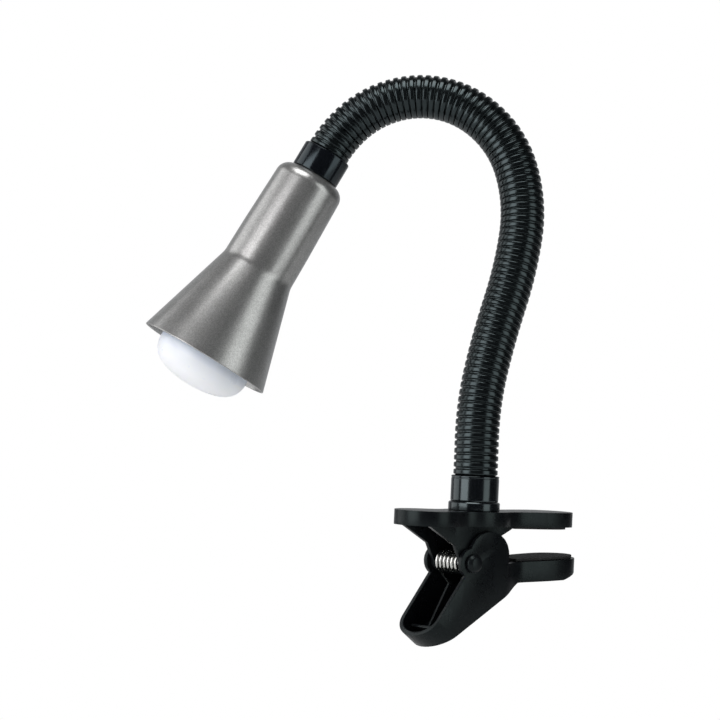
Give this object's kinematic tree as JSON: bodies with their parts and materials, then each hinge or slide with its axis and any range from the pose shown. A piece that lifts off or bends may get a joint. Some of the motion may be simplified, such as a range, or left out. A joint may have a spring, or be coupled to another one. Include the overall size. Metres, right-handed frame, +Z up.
{
  "type": "clip-on reading lamp",
  "caption": "Clip-on reading lamp: a sprung shelf clamp carries a corrugated gooseneck that bends and holds, ending in a flared spot shade round a mirrored reflector bulb.",
  "frame": {"origin": "centre of the upper jaw pad's gripping face, which rests on top of the shelf", "axes": "+Z up, away from the shelf; +X from the pivot towards the jaw tips, further onto the shelf; +Y across the jaws; the neck's arch goes towards -X and +Y"},
  "size_m": [0.185, 0.163, 0.2873],
  "materials": {
    "clamp_plastic": "injection-moulded black, semi-gloss",
    "pad_rubber": "matt black rubber",
    "pin_steel": "turned",
    "spring_nickel": "bright nickel-plated wire",
    "sleeve_plastic": "glossy black",
    "hardware_steel": "zinc-plated",
    "collar_plastic": "glossy black",
    "neck_plastic": "black corrugated vinyl, satin",
    "core_steel": "flexible steel conduit",
    "shade_metal": "satin metallic titan grey lacquer",
    "holder_phenolic": "moulded phenolic",
    "contact_brass": "plain",
    "bulb_frosted": "frosted white glass",
    "bulb_cap_nickel": "nickel-plated screw cap",
    "bulb_insulator_black": "vitrite"
  },
  "bodies": {
    "base": {"clamp_upper": "clamp_plastic", "upper_jaw_pad": "pad_rubber", "pivot_pin": "pin_steel", "pivot_cap_near": "clamp_plastic", "pivot_cap_far": "clamp_plastic", "torsion_spring": "spring_nickel", "base_flange": "sleeve_plastic", "base_sleeve": "sleeve_plastic", "mounting_stud": "hardware_steel", "lock_washer": "hardware_steel", "lock_nut": "hardware_steel", "cord_bush": "sleeve_plastic", "neck_sleeve_0": "neck_plastic", "flex_core_0": "core_steel"},
    "lower_jaw": {"clamp_lower": "clamp_plastic", "lower_jaw_pad": "pad_rubber"},
    "link_1": {"neck_sleeve_1": "neck_plastic", "flex_core_1": "core_steel"},
    "link_2": {"neck_sleeve_2": "neck_plastic", "flex_core_2": "core_steel"},
    "link_3": {"neck_sleeve_3": "neck_plastic", "flex_core_3": "core_steel"},
    "link_4": {"neck_sleeve_4": "neck_plastic", "flex_core_4": "core_steel"},
    "link_5": {"neck_sleeve_5": "neck_plastic", "flex_core_5": "core_steel"},
    "link_6": {"neck_sleeve_6": "neck_plastic", "flex_core_6": "core_steel"},
    "link_7": {"neck_sleeve_7": "neck_plastic", "flex_core_7": "core_steel"},
    "head": {"neck_sleeve_8": "neck_plastic", "flex_core_8": "core_steel", "head_collar": "collar_plastic", "shade": "shade_metal", "head_stud": "hardware_steel", "head_nut": "hardware_steel", "holder_body": "holder_phenolic", "screw_shell": "contact_brass", "centre_contact": "contact_brass", "terminal_live": "contact_brass", "terminal_neutral": "contact_brass"},
    "bulb": {"bulb_glass": "bulb_frosted", "bulb_cap": "bulb_cap_nickel", "bulb_insulator": "bulb_insulator_black", "bulb_contact": "contact_brass"}
  },
  "joints": [
    {"name": "jaw_open", "type": "hinge", "parent": "base", "child": "lower_jaw", "pos_m": [-0.0535, 0, -0.0169], "axis": [0, 1, 0], "range_deg": [-9, 22], "stiffness_Nm_per_rad": 0.5, "springref_deg": -34.38, "deforming": ["torsion_spring"]},
    {"name": "neck_side_bend", "type": "hinge", "parent": "base", "child": "link_1", "pos_m": [-0.04173, 0.00072, 0.04393], "axis": [-0.7882, 0.6153, -0.0087], "range_deg": [-20, 20]},
    {"name": "neck_lower_bend", "type": "hinge", "parent": "link_1", "child": "link_2", "pos_m": [-0.03603, 0.00273, 0.07907], "axis": [-0.5978, -0.7787, 0.1902], "range_deg": [-20, 6]},
    {"name": "neck_lower_bend_2", "type": "hinge", "parent": "link_2", "child": "link_3", "pos_m": [-0.0251, 0.00345, 0.11306], "axis": [-0.5871, -0.778, 0.2235], "range_deg": [-20, 6]},
    {"name": "neck_middle_bend", "type": "hinge", "parent": "link_3", "child": "link_4", "pos_m": [-0.01495, 0.0054, 0.14722], "axis": [-0.5896, -0.7785, 0.2151], "range_deg": [-20, 4]},
    {"name": "neck_middle_bend_2", "type": "hinge", "parent": "link_4", "child": "link_5", "pos_m": [-0.01312, 0.01354, 0.18168], "axis": [-0.5896, -0.7785, 0.2151], "range_deg": [-20, 4]},
    {"name": "neck_upper_bend", "type": "hinge", "parent": "link_5", "child": "link_6", "pos_m": [-0.02541, 0.03176, 0.20905], "axis": [-0.6106, -0.7474, 0.2619], "range_deg": [-20, 3]},
    {"name": "neck_upper_bend_2", "type": "hinge", "parent": "link_6", "child": "link_7", "pos_m": [-0.04892, 0.05645, 0.21672], "axis": [-0.691, -0.6629, 0.2881], "range_deg": [-20, 3]},
    {"name": "neck_upper_bend_3", "type": "hinge", "parent": "link_7", "child": "head", "pos_m": [-0.0723, 0.07698, 0.2006], "axis": [-0.771, -0.5927, 0.233], "range_deg": [-20, 3]},
    {"name": "bulb_pull", "type": "slide", "parent": "head", "child": "bulb", "axis": [-0.4199, 0.2301, -0.8779], "range_m": [0, 0.04]}
  ],
  "couplings": [
    {"joint": "neck_lower_bend_2", "follows": "neck_lower_bend", "ratio": 1},
    {"joint": "neck_middle_bend_2", "follows": "neck_middle_bend", "ratio": 1},
    {"joint": "neck_upper_bend_2", "follows": "neck_upper_bend", "ratio": 1},
    {"joint": "neck_upper_bend_3", "follows": "neck_upper_bend", "ratio": 1}
  ]
}
